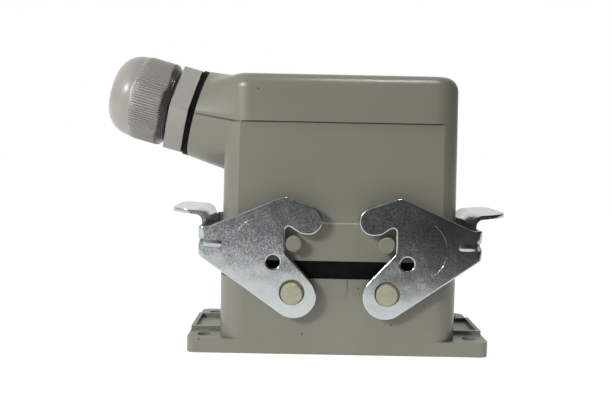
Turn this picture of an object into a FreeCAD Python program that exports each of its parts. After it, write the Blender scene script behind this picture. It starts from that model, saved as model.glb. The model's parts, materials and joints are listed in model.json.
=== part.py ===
import FreeCAD, Part

import math
import os
import re

import Sketcher
from FreeCAD import Placement, Rotation, Vector

# A heavy duty rectangular connector of the ten-pole size, closed: a flanged housing with two
# locking levers, and a hood with an angled cable entry and a nylon cable gland.
# Millimetres. The origin is the centre of the flange's bottom face, +Z up, +X along the length.
# The front faces -Y and the cable gland leaves on the -X side.

CONTACTS_IN_A_ROW = 5
NUT_RIBS = 60
CAGE_SLOTS = 8

# Driving dimensions, in millimetres and degrees
SIZES = {
    # Contacts and their insulating inserts
    "contact_pitch": 9.0,
    "contact_row": 10.0,
    "contact_body": 4.0,
    "contact_pin": 2.5,
    "pin_overlap": 12.0,
    "mating_end": 4.5,
    "mating_side": 4.0,
    "mating_clearance": 0.5,
    "mating_gap": 3.0,
    "chamber_floor": 2.0,
    "shroud_wall": 2.0,
    "shroud_gap": 1.5,
    "terminal_end": 6.0,
    "terminal_side": 8.0,
    "terminal_depth": 11.0,
    "terminal_low": 6.0,
    "terminal_screw": 2.8,
    "terminal_screw_inset": 4.5,
    "insert_end": 7.8,
    "insert_side": 3.8,
    "insert_plate": 3.0,
    "insert_corner": 2.0,
    "insert_fixing_inset": 3.3,
    "insert_screw": 3.0,
    "insert_screw_head": 5.4,
    "insert_screw_head_height": 2.4,
    "insert_clearance": 0.7,
    "lug_overlap": 0.5,
    "lug_corner_cut": 3.5,
    "lug_length": 8.0,
    "lug_height": 9.0,
    "female_seat": 12.0,
    "male_seat": 14.0,
    "earth_plate": 0.8,
    "earth_rise": 5.0,
    "earth_width": 12.0,
    "earth_gap": 0.3,
    "earth_screw": 3.5,
    "earth_screw_height": 2.2,
    # Housing and flange casting
    "housing_end_wall": 4.25,
    "housing_side_wall": 4.0,
    "housing_height": 23.5,
    "housing_corner": 7.5,
    "cutout_corner": 4.0,
    "locating_lip_wall": 1.8,
    "locating_lip_height": 3.0,
    "flange_ear": 9.75,
    "flange_thickness": 4.5,
    "flange_corner": 2.5,
    "fixing_end_inset": 5.0,
    "fixing_side_inset": 5.5,
    "fixing_hole": 4.5,
    "ear_rim_height": 1.1,
    "ear_rim_wall": 1.3,
    "ear_rim_width": 20.0,
    "gate_mark_width": 4.7,
    "gate_mark_height": 5.0,
    "gate_mark_relief": 0.3,
    # Rubber ring between housing and hood
    "gasket_height": 5.5,
    "gasket_recess": 0.25,
    # Hood casting
    "hood_inset": 0.25,
    "hood_height": 56.7,
    "hood_corner": 8.0,
    "hood_draft": 0.6,
    "hood_edge_round": 4.5,
    "hood_wall": 3.0,
    "hood_roof": 3.5,
    "collar_height": 9.9,
    "band_top": 42.2,
    "band_recess": 0.5,
    "peg_spacing": 28.0,
    "peg_level": 5.55,
    "peg_diameter": 4.9,
    "peg_chamfer": 0.4,
    # Cable entry neck
    "neck_tilt": 15.0,
    "neck_diameter": 28.0,
    "neck_reach": 9.1,
    "neck_level": 44.4,
    "neck_root_height": 32.6,
    "neck_root_width": 40.0,
    "neck_root_level": 40.3,
    "neck_root_depth": 6.5,
    "entry_bore": 22.5,
    # Levers and pivots
    "sheet_thickness": 1.2,
    "arm_clearance": 2.8,
    "plate_clearance": 5.0,
    "pivot_outset": 0.35,
    "pivot_drop": 3.75,
    "pivot_pin": 7.2,
    "pivot_pin_proud": 0.3,
    "pivot_pin_edge": 0.4,
    "pivot_slack": 0.6,
    "pivot_collar": 9.4,
    "pivot_shank": 6.0,
    "arm_end_round": 6.9,
    "arm_end_offset": 0.55,
    "arm_end_drop": 0.9,
    "nose_round": 4.35,
    "nose_reach": 4.2,
    "nose_rise": 7.05,
    "nose_rim_depth": 2.0,
    "lip_reach": 1.9,
    "lip_rise": 2.95,
    "lip_round": 1.5,
    "hook_clearance": 0.15,
    "notch_rise": 5.9,
    "notch_round": 1.0,
    "throat_drop": 2.6,
    "throat_round": 2.0,
    "plate_drop": 3.85,
    "plate_height": 8.7,
    "crest_rise": 14.25,
    "crest_offset": 3.4,
    "crest_round": 3.0,
    "shoulder_length": 3.2,
    "shoulder_round": 4.0,
    "bend_round": 1.8,
    "sheet_hole": 4.0,
    "sheet_hole_offset": 5.8,
    "sheet_hole_rise": 9.25,
    "sheet_hole_round": 0.5,
    "dart_leg": 4.6,
    "dart_height": 3.4,
    "tab_width": 31.0,
    "tab_reach": 9.8,
    "tab_rise": 2.4,
    "tab_slope": 0.9,
    "tab_bend": 2.2,
    "tab_corner": 6.0,
    # Cable gland
    "washer_thickness": 1.9,
    "gland_hex": 26.6,
    "gland_hex_thickness": 5.9,
    "gland_spigot": 9.0,
    "gland_thread": 21.2,
    "gland_thread_length": 13.0,
    "gland_bore": 17.2,
    "cage_wall": 1.2,
    "cage_slot_width": 1.2,
    "cage_slot_length": 7.5,
    "cable_bore": 12.0,
    "nut_gap": 1.2,
    "nut_flats": 26.6,
    "nut_corners": 27.8,
    "nut_length": 20.3,
    "nut_dome": 8.5,
    "nut_mouth": 14.0,
    "nut_lip": 0.9,
    "rib_relief": 0.3,
    # Clearances
    "running_gap": 0.1,
    "seat_gap": 0.03,
}

# Dimensions that follow from them: the contacts set the inserts, those the castings, and so on out
FOLLOWING = {
    "row_length": f"{CONTACTS_IN_A_ROW - 1} * contact_pitch",
    "mating_length": "row_length + 2 * mating_end",
    "mating_width": "contact_row + 2 * mating_side",
    "terminal_length": "row_length + 2 * terminal_end",
    "terminal_width": "contact_row + 2 * terminal_side",
    "insert_length": "terminal_length + 2 * insert_end",
    "insert_width": "terminal_width + 2 * insert_side",
    "insert_fixing_length": "insert_length - 2 * insert_fixing_inset",
    "insert_fixing_width": "insert_width - 2 * insert_fixing_inset",
    "cutout_length": "insert_length + 2 * insert_clearance",
    "cutout_width": "insert_width + 2 * insert_clearance",
    "housing_length": "cutout_length + 2 * housing_end_wall",
    "flange_length": "housing_length + 2 * flange_ear",
    "flange_width": "cutout_width + 2 * housing_side_wall",
    "fixing_length": "flange_length - 2 * fixing_end_inset",
    "fixing_width": "flange_width - 2 * fixing_side_inset",
    "hood_length": "housing_length - 2 * hood_inset",
    "pivot_spacing": "peg_spacing + 2 * pivot_outset",
    "pivot_level": "housing_height - pivot_drop",
    "plate_low": "housing_height + gasket_height + peg_level - plate_drop",
    "plate_high": "plate_low + plate_height",
    "crest_level": "housing_height + gasket_height + peg_level + crest_rise",
}

# Levels and half sizes worked out from the driving dimensions, as expressions of the sheet
HOOD_BOTTOM = "(housing_height + gasket_height)"
HOOD_TOP = f"({HOOD_BOTTOM} + hood_height)"
FACE = "(flange_width / 2)"
ARM_INSIDE = f"({FACE} + arm_clearance)"
ARM_OUTSIDE = f"({ARM_INSIDE} + sheet_thickness)"
PIVOT_X = "(-pivot_spacing / 2)"
PEG_X = "(-peg_spacing / 2)"
PEG_Z = f"({HOOD_BOTTOM} + peg_level)"
PLATE_INSIDE = "(-hood_length / 2 - plate_clearance)"
PLATE_OUTSIDE = f"({PLATE_INSIDE} - sheet_thickness)"
MALE_PLATE_TOP = f"({HOOD_BOTTOM} + male_seat)"
MALE_PLATE_BOTTOM = f"({MALE_PLATE_TOP} - insert_plate)"
FEMALE_PLATE_TOP = "(female_seat + insert_plate)"
FEMALE_TOP = f"({MALE_PLATE_BOTTOM} - mating_gap)"
MALE_FLOOR = f"({MALE_PLATE_BOTTOM} - chamber_floor)"
SHROUD_LENGTH = "(mating_length + 2 * mating_clearance + 2 * shroud_wall)"
SHROUD_WIDTH = "(mating_width + 2 * mating_clearance + 2 * shroud_wall)"

doc = FreeCAD.newDocument("RectangularConnector")
sheet = doc.addObject("Spreadsheet::Sheet", "Sizes")
NAMED = {**SIZES, **FOLLOWING}
for row, (alias, content) in enumerate(NAMED.items(), start=1):
    sheet.set(f"A{row}", alias)
    sheet.set(f"B{row}", f"={content}")
    sheet.setAlias(f"B{row}", alias)
doc.recompute()

parts = []


def value(expression):
    """The number that an expression of the sheet's names gives."""
    return float(sheet.evalExpression(expression))


def bound(expression):
    """The same expression with each of the sheet's names made readable from other objects."""
    name = re.compile(r"[a-z_]+")
    return name.sub(lambda found: f"Sizes.{found[0]}" if found[0] in NAMED else found[0], expression)


def bind(thing, path, expression):
    thing.setExpression(path, bound(expression))


def keep(piece, label):
    """Name a finished piece, which goes to its own file."""
    piece.Label = label
    parts.append(piece)
    return piece


# Sketches

def sketch_on(body, role, offset=None, tilt=None, about=Vector(1, 0, 0)):
    """A sketch on an origin plane of its body, moved by expressions and turned about its own X or Y."""
    drawing = body.newObject("Sketcher::SketchObject", "Sketch")
    plane = next(item for item in body.Origin.OriginFeatures if item.Role == role)
    drawing.AttachmentSupport = [(plane, "")]
    drawing.MapMode = "FlatFace"
    if tilt is not None:
        turned = Rotation(about, value(tilt))
        drawing.AttachmentOffset = Placement(Vector(), turned)
        bind(drawing, "AttachmentOffset.Rotation.Angle", tilt)
    for axis, distance in (offset or {}).items():
        bind(drawing, f"AttachmentOffset.Base.{axis}", distance)
    doc.recompute()
    return drawing


def circle(drawing, x, y, diameter):
    centre = Vector(value(x), value(y), 0)
    index = drawing.addGeometry(Part.Circle(centre, Vector(0, 0, 1), value(diameter) / 2))
    constrain(drawing, [], [("DistanceX", index, 3, x), ("DistanceY", index, 3, y),
                            ("Diameter", index, diameter)])


def ellipse(drawing, x, y, width, height):
    """An ellipse that is wider than it is high, held by the lengths of its two axes."""
    centre = Vector(value(x), value(y), 0)
    side = centre + Vector(value(width) / 2, 0, 0)
    top = centre + Vector(0, value(height) / 2, 0)
    index = drawing.addGeometry(Part.Ellipse(side, top, centre))
    drawing.exposeInternalGeometry(index)
    major, minor = index + 1, index + 2
    constrain(drawing, [("Horizontal", major)],
              [("DistanceX", index, 3, x), ("DistanceY", index, 3, y),
               ("Distance", major, width), ("Distance", minor, height)])


def polygon(drawing, corners):
    """A closed outline with straight sides, from the x and y of its corners."""
    points = [Vector(value(x), value(y), 0) for x, y in corners]
    first = drawing.GeometryCount
    for start, end in zip(points, points[1:] + points[:1]):
        drawing.addGeometry(Part.LineSegment(start, end))
    joins = []
    sizes = []
    for index, (x, y) in enumerate(corners):
        line = first + index
        joins.append(("Coincident", first + (index - 1) % len(corners), 2, line, 1))
        sizes += [("DistanceX", line, 1, x), ("DistanceY", line, 1, y)]
    constrain(drawing, joins, sizes)


def constrain(drawing, joins, sizes):
    """Add plain constraints, and sized ones whose last term is an expression of the sheet."""
    constraints = [Sketcher.Constraint(*join) for join in joins]
    constraints += [Sketcher.Constraint(*size[:-1], value(size[-1])) for size in sizes]
    first = drawing.ConstraintCount + len(joins)
    drawing.addConstraint(constraints)
    for index, size in enumerate(sizes, start=first):
        bind(drawing, f"Constraints[{index}]", size[-1])


def tangent(start, centre, radius, side):
    """The corner where a line from start touches a circle, to the side given by 1 or -1."""
    run = f"({start[0]} - {centre[0]})"
    rise = f"({start[1]} - {centre[1]})"
    angle = f"(atan2({rise}; {run}) + {side} * acos({radius} / hypot({run}; {rise})))"
    return f"{centre[0]} + {radius} * cos({angle})", f"{centre[1]} + {radius} * sin({angle})"


def rectangle(drawing, length, width, x="0", y="0"):
    polygon(drawing, rectangle_corners(length, width, x, y))


def rectangle_corners(length, width, x="0", y="0"):
    return [(f"{x} + {sx} * ({length}) / 2", f"{y} + {sy} * ({width}) / 2")
            for sx, sy in ((-1, -1), (-1, 1), (1, 1), (1, -1))]


def mirrored_pairs(x, y):
    """The four places that mirror a place about both middle lines."""
    return [(f"{sx} * ({x})", f"{sy} * ({y})") for sx in (-1, 1) for sy in (-1, 1)]


# Features

def new_body(name):
    return doc.addObject("PartDesign::Body", name)


def extrude(body, kind, drawing, length, both=False, backwards=False):
    """A Pad or Pocket of a drawing, with its length bound to the sheet."""
    feature = body.newObject(f"PartDesign::{kind}", kind)
    feature.Profile = drawing
    feature.Type = "Length"
    bind(feature, "Length", length)
    if both:
        feature.SideType = "Symmetric"
    feature.Reversed = backwards
    doc.recompute()
    return feature


def pad(body, drawing, length, **options):
    return extrude(body, "Pad", drawing, length, **options)


def pocket(body, drawing, length, **options):
    return extrude(body, "Pocket", drawing, length, **options)


def block(body, kind, level, length, width, depth, corner=None, x="0", y="0", **options):
    """A Pad or Pocket of a rectangle from one level, with its upright edges rounded."""
    drawing = sketch_on(body, "XY_Plane", {"z": level})
    rectangle(drawing, length, width, x, y)
    feature = extrude(body, kind, drawing, depth, **options)
    if corner:
        dress(body, "Fillet", corner, edge_along("z", rectangle_corners(length, width, x, y)))
    return feature


def rounds(body, level, places, diameter, kind, depth, **options):
    """Pads or Pockets of equal circles from one level."""
    drawing = sketch_on(body, "XY_Plane", {"z": level})
    for x, y in places:
        circle(drawing, x, y, diameter)
    return extrude(body, kind, drawing, depth, **options)


def cross_rounds(body, places, diameter, kind, length):
    """Pads or Pockets of equal circles that run from front to back."""
    drawing = sketch_on(body, "XZ_Plane")
    for x, z in places:
        circle(drawing, x, z, diameter)
    return extrude(body, kind, drawing, length, both=True)


def revolve(body, drawing):
    """A full turn of a drawing about its own vertical axis."""
    feature = body.newObject("PartDesign::Revolution", "Revolution")
    feature.Profile = drawing
    feature.ReferenceAxis = (drawing, ["V_Axis"])
    feature.Angle = 360
    doc.recompute()
    return feature


def draft(body, angle, length, width, level, inwards):
    """Slope the four upright walls of a rectangle, which keeps its size at one level."""
    base = body.Tip
    faces = list(enumerate(base.Shape.Faces, start=1))
    half = (value(length) / 2, value(width) / 2)

    def is_wall(face):
        box = face.BoundBox
        across = near(box.XMin, box.XMax) and near(abs(box.XMin), half[0]) and box.YMax < half[1] + 1e-3
        along = near(box.YMin, box.YMax) and near(abs(box.YMin), half[1]) and box.XMax < half[0] + 1e-3
        return across or along

    flat = [f"Face{number}" for number, face in faces
            if near(face.BoundBox.ZMin, value(level)) and near(face.BoundBox.ZMax, value(level))]
    feature = body.newObject("PartDesign::Draft", "Draft")
    feature.Base = (base, [f"Face{number}" for number, face in faces if is_wall(face)])
    feature.NeutralPlane = (base, flat[:1])
    feature.Reversed = inwards
    bind(feature, "Angle", angle)
    doc.recompute()
    return feature


def dress(body, kind, size, choose):
    """A Fillet or Chamfer on the edges of the body so far that a test picks out."""
    base = body.Tip
    names = [f"Edge{number}" for number, edge in enumerate(base.Shape.Edges, start=1) if choose(edge)]
    feature = body.newObject(f"PartDesign::{kind}", kind)
    feature.Base = (base, names)
    bind(feature, "Radius" if kind == "Fillet" else "Size", size)
    doc.recompute()
    return feature


def near(first, second):
    return abs(first - second) < 1e-3


def edge_along(axis, corners):
    """A test for straight edges that run nearly along one axis from one of some corners."""
    others = [name for name in "xyz" if name != axis]
    places = [(value(first), value(second)) for first, second in corners]

    def at_a_place(point):
        here = [getattr(point, name) for name in others]
        return any(near(here[0], place[0]) and near(here[1], place[1]) for place in places)

    def test(edge):
        ends = [vertex.Point for vertex in edge.Vertexes]
        if len(ends) < 2:
            return False
        run = abs(getattr(ends[1] - ends[0], axis))
        return run > 0.99 * edge.Length and (at_a_place(ends[0]) or at_a_place(ends[1]))
    return test


def edge_at_level(height):
    """A test for edges that lie flat at one height."""
    def test(edge):
        box = edge.BoundBox
        return near(box.ZMin, height) and near(box.ZMax, height)
    return test


def rim_of(diameter, distance):
    """A test for circular edges of one diameter that face front or back at one distance."""
    def test(edge):
        curve = edge.Curve
        return isinstance(curve, Part.Circle) and near(2 * curve.Radius, diameter) \
            and near(abs(curve.Center.y), distance) and near(abs(curve.Axis.y), 1)
    return test


# Housing casting

INSERT_FIXINGS = mirrored_pairs("insert_fixing_length / 2", "insert_fixing_width / 2")


def make_housing():
    body = new_body("Housing")
    block(body, "Pad", "0", "housing_length", "flange_width", "housing_height", "housing_corner")
    block(body, "Pad", "0", "flange_length", "flange_width", "flange_thickness", "flange_corner")
    lip_length = "cutout_length + 2 * locating_lip_wall"
    lip_width = "cutout_width + 2 * locating_lip_wall"
    block(body, "Pad", "0", lip_length, lip_width, "housing_height + locating_lip_height",
          "cutout_corner + locating_lip_wall")

    # A shallow tray on each ear, open towards the wall and rimmed on its other three sides
    middle = "(flange_length + housing_length) / 4"
    length = "(flange_length - housing_length) / 2"
    for side in (-1, 1):
        block(body, "Pad", "0", f"{length} + 2", "ear_rim_width", "flange_thickness + ear_rim_height",
              x=f"{side} * ({middle} - 1)")
        block(body, "Pocket", "flange_thickness", f"{length} - ear_rim_wall",
              "ear_rim_width - 2 * ear_rim_wall", "ear_rim_height + 1",
              x=f"{side} * ({middle} - ear_rim_wall / 2)", backwards=True)

    mark = sketch_on(body, "XZ_Plane")
    rectangle(mark, "gate_mark_width", "gate_mark_height", y="housing_height - gate_mark_height / 2")
    pad(body, mark, "flange_width + 2 * gate_mark_relief", both=True)
    block(body, "Pocket", "0", "cutout_length", "cutout_width",
          "housing_height + locating_lip_height + 1", "cutout_corner", backwards=True)

    add_lugs(body, "female_seat - lug_height", "cutout_length / 2", "cutout_width / 2")
    rounds(body, "female_seat", INSERT_FIXINGS, "insert_screw", "Pocket", "lug_height + 1")
    rounds(body, "0", mirrored_pairs("fixing_length / 2", "fixing_width / 2"), "fixing_hole",
           "Pocket", "flange_thickness + 1", backwards=True)
    pivots = [(PIVOT_X, "pivot_level"), (f"-{PIVOT_X}", "pivot_level")]
    cross_rounds(body, pivots, "pivot_shank + 2 * seat_gap", "Pocket", "flange_width + 10")
    keep(body, "housing")


def add_lugs(body, bottom, wall_x, wall_y):
    """Four lugs that carry an insert's screws, run into the walls, each with its corner cut off."""
    drawing = sketch_on(body, "XY_Plane", {"z": bottom})
    far_x, far_y = (f"({wall} + 2 * lug_overlap)" for wall in (wall_x, wall_y))
    near_x, near_y = (f"({wall} - lug_length)" for wall in (wall_x, wall_y))
    for side_x in (-1, 1):
        for side_y in (-1, 1):
            corners = [(near_x, near_y), (far_x, near_y), (far_x, f"({far_y} - lug_corner_cut)"),
                       (f"({far_x} - lug_corner_cut)", far_y), (near_x, far_y)]
            polygon(drawing, [(f"{side_x} * {x}", f"{side_y} * {y}") for x, y in corners])
    pad(body, drawing, "lug_height")


def make_housing_gasket():
    outside = new_body("GasketOutside")
    block(outside, "Pad", "housing_height", "hood_length - 2 * gasket_recess",
          "flange_width - 2 * gasket_recess", "gasket_height", "hood_corner - gasket_recess")
    inside = new_body("GasketInside")
    block(inside, "Pad", "housing_height",
          "cutout_length + 2 * locating_lip_wall + 2 * running_gap",
          "cutout_width + 2 * locating_lip_wall + 2 * running_gap", "gasket_height",
          "cutout_corner + locating_lip_wall + running_gap")
    ring = doc.addObject("Part::Cut", "HousingGasket")
    ring.Base = outside
    ring.Tool = inside
    doc.recompute()
    keep(ring, "housing_gasket")


# Hood casting, with its pegs and cable entry neck

def make_hood():
    body = new_body("Hood")
    block(body, "Pad", HOOD_BOTTOM, "hood_length", "flange_width", "hood_height")
    draft(body, "hood_draft", "hood_length", "flange_width", HOOD_BOTTOM, False)
    dress(body, "Fillet", "hood_corner", edge_along("z", rectangle_corners("hood_length", "flange_width")))

    # The face between collar and crown lies a little back, front and rear
    low = f"({HOOD_BOTTOM} + collar_height)"
    high = f"({HOOD_BOTTOM} + band_top)"
    low_face = f"({FACE} - collar_height * tan(hood_draft * 1 deg) - band_recess)"
    high_face = f"({FACE} - band_top * tan(hood_draft * 1 deg) - band_recess)"
    outside = f"({FACE} + 2)"
    for side in (-1, 1):
        band = sketch_on(body, "YZ_Plane")
        polygon(band, [(f"{side} * {low_face}", low), (f"{side} * {high_face}", high),
                       (f"{side} * {outside}", high), (f"{side} * {outside}", low)])
        pocket(body, band, "hood_length + 2", both=True)
    dress(body, "Fillet", "hood_edge_round", edge_at_level(value(HOOD_TOP)))

    # The neck flares from a round end face into the hood's rounded corners
    mouth = neck_sketch(body)
    circle(mouth, "0", "0", "neck_diameter")
    root = sketch_on(body, "YZ_Plane", {"z": "neck_root_depth - hood_length / 2",
                                        "y": f"{HOOD_BOTTOM} + neck_root_level"})
    ellipse(root, "0", "0", "neck_root_width", "neck_root_height")
    neck = body.newObject("PartDesign::AdditiveLoft", "Neck")
    neck.Profile = mouth
    neck.Sections = [root]
    neck.Ruled = True
    doc.recompute()

    cross_rounds(body, [(PEG_X, PEG_Z), (f"-{PEG_X}", PEG_Z)], "peg_diameter", "Pad",
                 f"2 * {ARM_OUTSIDE}")
    dress(body, "Chamfer", "peg_chamfer", rim_of(value("peg_diameter"), value(ARM_OUTSIDE)))

    inside = ("hood_length - 2 * hood_wall", "flange_width - 2 * hood_wall")
    block(body, "Pocket", HOOD_BOTTOM, *inside, "hood_height - hood_roof", backwards=True)
    draft(body, "hood_draft", *inside, HOOD_BOTTOM, True)
    dress(body, "Fillet", "hood_corner - hood_wall", edge_along("z", rectangle_corners(*inside)))
    entry = neck_sketch(body)
    circle(entry, "0", "0", "entry_bore + 2 * seat_gap")
    pocket(body, entry, "neck_reach + hood_wall + 8", backwards=True)

    add_lugs(body, MALE_PLATE_TOP, "hood_length / 2 - hood_wall", "flange_width / 2 - hood_wall")
    rounds(body, MALE_PLATE_TOP, INSERT_FIXINGS, "insert_screw", "Pocket", "lug_height - 1",
           backwards=True)
    keep(body, "hood")


def neck_sketch(body):
    """A sketch on the neck's end face, square to the gland's axis."""
    return sketch_on(body, "YZ_Plane", {"z": "-hood_length / 2 - neck_reach",
                                        "y": f"{HOOD_BOTTOM} + neck_level"}, tilt="neck_tilt")


# Levers and their pivots

def make_pivot_pins():
    shank = "pivot_shank / 2"
    collar = "pivot_collar / 2"
    stud = "pivot_pin / 2"
    wall_inside = "cutout_width / 2"
    collar_end = f"({ARM_INSIDE} - running_gap)"
    end = f"({ARM_OUTSIDE} + pivot_pin_proud)"
    profile = [("0", wall_inside), ("0", end), (f"{stud} - pivot_pin_edge", end),
               (stud, f"{end} - pivot_pin_edge"),
               (stud, collar_end), (collar, collar_end), (collar, FACE), (shank, FACE),
               (shank, wall_inside)]
    for face, turn in (("front", 90), ("rear", -90)):
        for side, sign in (("left", 1), ("right", -1)):
            pin = turned("PivotPin", f"pivot_pin_{face}_{side}", profile)
            pin.Placement = Placement(Vector(), Rotation(Vector(1, 0, 0), turn))
            bind(pin, "Placement.Base.x", f"{sign} * {PIVOT_X}")
            bind(pin, "Placement.Base.z", "pivot_level")


def turned(name, label, profile, x="0", y="0"):
    """A turned piece from a half profile, stood at x, y."""
    body = new_body(name)
    drawing = sketch_on(body, "XZ_Plane")
    polygon(drawing, profile)
    revolve(body, drawing)
    bind(body, "Placement.Base.x", x)
    bind(body, "Placement.Base.y", y)
    return keep(body, label)


def make_levers():
    body = new_body("Lever")
    arm_depth = f"2 * {ARM_OUTSIDE}"
    toe = (PLATE_OUTSIDE, "plate_low")
    shoulder = (f"({PLATE_OUTSIDE} + shoulder_length)", "plate_high")
    crest = (f"({PEG_X} - crest_offset)", "crest_level")
    nose = (f"({PEG_X} + nose_reach)", f"({PEG_Z} + nose_rise)")
    lip = (f"({PEG_X} + lip_reach)", f"({PEG_Z} + lip_rise)")
    notch_x = f"({PEG_X} - peg_diameter / 2 - hook_clearance)"
    notch = (notch_x, f"({PEG_Z} + notch_rise)")
    throat = (notch_x, f"({PEG_Z} - throat_drop)")
    arm_end = (f"({PIVOT_X} + arm_end_offset)", "(pivot_level - arm_end_drop)")
    arms = sketch_on(body, "XZ_Plane")
    polygon(arms, [toe, (PLATE_OUTSIDE, "plate_high"), shoulder, crest,
                   tangent(crest, nose, "nose_round", -1), tangent(lip, nose, "nose_round", 1),
                   lip, notch, throat,
                   tangent(throat, arm_end, "arm_end_round", -1),
                   tangent(toe, arm_end, "arm_end_round", 1)])
    pad(body, arms, arm_depth, both=True)
    cross_rounds(body, [arm_end], "2 * arm_end_round", "Pad", arm_depth)
    cross_rounds(body, [nose], "2 * nose_round", "Pad", arm_depth)
    for corner, radius in ((shoulder, "shoulder_round"), (crest, "crest_round"), (lip, "lip_round"),
                           (notch, "notch_round"), (throat, "throat_round")):
        dress(body, "Fillet", radius, edge_along("y", [corner]))

    # The sheet is hollow between its arms, and behind the hook its rim is turned in
    block(body, "Pocket", HOOD_TOP, "hood_length", f"2 * ({ARM_INSIDE} - nose_rim_depth)",
          HOOD_TOP, x=f"{PLATE_INSIDE} + hood_length / 2")
    rim_round = "(nose_round - sheet_thickness)"
    above = (f"({nose[0]} + sheet_thickness / 2)", HOOD_TOP)
    inside_lip = (f"({lip[0]} - sheet_thickness / 6)", f"({lip[1]} + 1.1 * sheet_thickness)")
    rim = sketch_on(body, "XZ_Plane")
    polygon(rim, [(PLATE_INSIDE, "0"), (PLATE_INSIDE, above[1]), above,
                  tangent(above, nose, rim_round, -1), tangent(inside_lip, nose, rim_round, 1),
                  inside_lip, (PEG_X, f"{notch[1]} - sheet_thickness / 4"),
                  (PEG_X, throat[1]), ("0", "pivot_level"), ("0", "0")])
    pocket(body, rim, f"2 * {ARM_INSIDE}", both=True)
    cross_rounds(body, [nose], f"2 * {rim_round}", "Pocket", f"2 * {ARM_INSIDE}")

    # Thumb tab, rising from the end plate and bent outwards
    crown = "(plate_high + tab_rise)"
    tip = f"({PLATE_OUTSIDE} - tab_reach)"
    foot = "(plate_high - sheet_thickness)"
    tab = sketch_on(body, "XZ_Plane")
    polygon(tab, [(PLATE_OUTSIDE, foot), (PLATE_OUTSIDE, crown), (tip, f"{crown} + tab_slope"),
                  (tip, f"{crown} + tab_slope + sheet_thickness"),
                  (PLATE_INSIDE, f"{crown} + sheet_thickness"), (PLATE_INSIDE, foot)])
    pad(body, tab, "tab_width", both=True)
    dress(body, "Fillet", "tab_bend", edge_along("y", [(PLATE_OUTSIDE, crown)]))
    dress(body, "Fillet", "tab_bend + sheet_thickness",
          edge_along("y", [(PLATE_INSIDE, f"{crown} + sheet_thickness")]))
    dress(body, "Fillet", "tab_corner",
          edge_along("z", [(tip, "-tab_width / 2"), (tip, "tab_width / 2")]))
    dress(body, "Fillet", "bend_round",
          edge_along("z", [(PLATE_OUTSIDE, f"-{ARM_OUTSIDE}"), (PLATE_OUTSIDE, ARM_OUTSIDE)]))
    dress(body, "Fillet", "bend_round - sheet_thickness",
          edge_along("z", [(PLATE_INSIDE, f"-{ARM_INSIDE}"), (PLATE_INSIDE, ARM_INSIDE)]))
    add_darts(body)

    pivot_hole = (PIVOT_X, "pivot_level + pivot_slack / 2 - running_gap")
    through = f"4 * {ARM_OUTSIDE}"
    cross_rounds(body, [pivot_hole], "pivot_pin + pivot_slack", "Pocket", through)
    cross_rounds(body, [(f"{PIVOT_X} - sheet_hole_offset", "pivot_level + sheet_hole_rise")],
                 "sheet_hole", "Pocket", through)
    dress(body, "Fillet", "sheet_hole_round", rim_of(value("sheet_hole"), value(ARM_OUTSIDE)))
    keep(body, "lever_left")

    mirror = doc.addObject("Part::Mirroring", "LeverRight")
    mirror.Source = body
    mirror.Base = Vector(0, 0, 0)
    mirror.Normal = Vector(1, 0, 0)
    doc.recompute()
    keep(mirror, "lever_right")


def add_darts(body):
    """A stiffening dart pressed into each bend of a lever: a groove outside and its back inside."""
    middle = "(plate_low + plate_height / 2 - plate_height / 20)"
    near_side = "sheet_thickness / 2"
    far_side = f"(dart_leg + sqrt(2) * sheet_thickness - {near_side})"
    back = sketch_on(body, "XY_Plane", {"z": f"{middle} - dart_height / 2"})
    for side in (-1, 1):
        polygon(back, [(f"{PLATE_OUTSIDE} + {near_side}", f"{side} * ({ARM_OUTSIDE} - {near_side})"),
                       (f"{PLATE_OUTSIDE} + {far_side}", f"{side} * ({ARM_OUTSIDE} - {near_side})"),
                       (f"{PLATE_OUTSIDE} + {near_side}", f"{side} * ({ARM_OUTSIDE} - {far_side})")])
    pad(body, back, "dart_height")
    depth = "(dart_leg / sqrt(2))"
    bottom = f"(({PLATE_OUTSIDE} + dart_leg - {ARM_OUTSIDE}) / sqrt(2))"
    for turn in ("45", "-45"):
        groove = sketch_on(body, "XZ_Plane", tilt=turn, about=Vector(0, 1, 0))
        polygon(groove, [(bottom, middle), (f"{bottom} - 2 * {depth}", f"{middle} + dart_height"),
                         (f"{bottom} - 2 * {depth}", f"{middle} - dart_height")])
        pocket(body, groove, "hood_length", both=True)


# Contact inserts

HALF_ROW = (CONTACTS_IN_A_ROW - 1) / 2
ROW = [f"{number - HALF_ROW} * contact_pitch" for number in range(CONTACTS_IN_A_ROW)]
CONTACT_PLACES = [(x, f"{side} * contact_row / 2") for side in (-1, 1) for x in ROW]
MALE_TERMINAL_TOP = f"({MALE_PLATE_TOP} + terminal_depth)"
MALE_SCREW_LEVEL = f"({MALE_TERMINAL_TOP} - terminal_screw_inset)"
FEMALE_SCREW_LEVEL = "(terminal_low + terminal_screw_inset * 2 / 3)"


def make_male_insert():
    body = new_body("MaleInsert")
    block(body, "Pad", MALE_PLATE_BOTTOM, "insert_length", "insert_width", "insert_plate", "insert_corner")
    block(body, "Pad", MALE_FLOOR, "terminal_length", "terminal_width",
          f"{MALE_TERMINAL_TOP} - {MALE_FLOOR}")
    block(body, "Pad", f"{FEMALE_PLATE_TOP} + shroud_gap", SHROUD_LENGTH, SHROUD_WIDTH,
          f"{MALE_PLATE_BOTTOM} - {FEMALE_PLATE_TOP} - shroud_gap", "insert_corner")
    block(body, "Pocket", FEMALE_PLATE_TOP, "mating_length + 2 * mating_clearance",
          "mating_width + 2 * mating_clearance", f"{MALE_FLOOR} - {FEMALE_PLATE_TOP}", backwards=True)
    finish_insert(body, MALE_FLOOR, MALE_TERMINAL_TOP, MALE_PLATE_BOTTOM, MALE_SCREW_LEVEL)
    keep(body, "male_insert")


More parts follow.
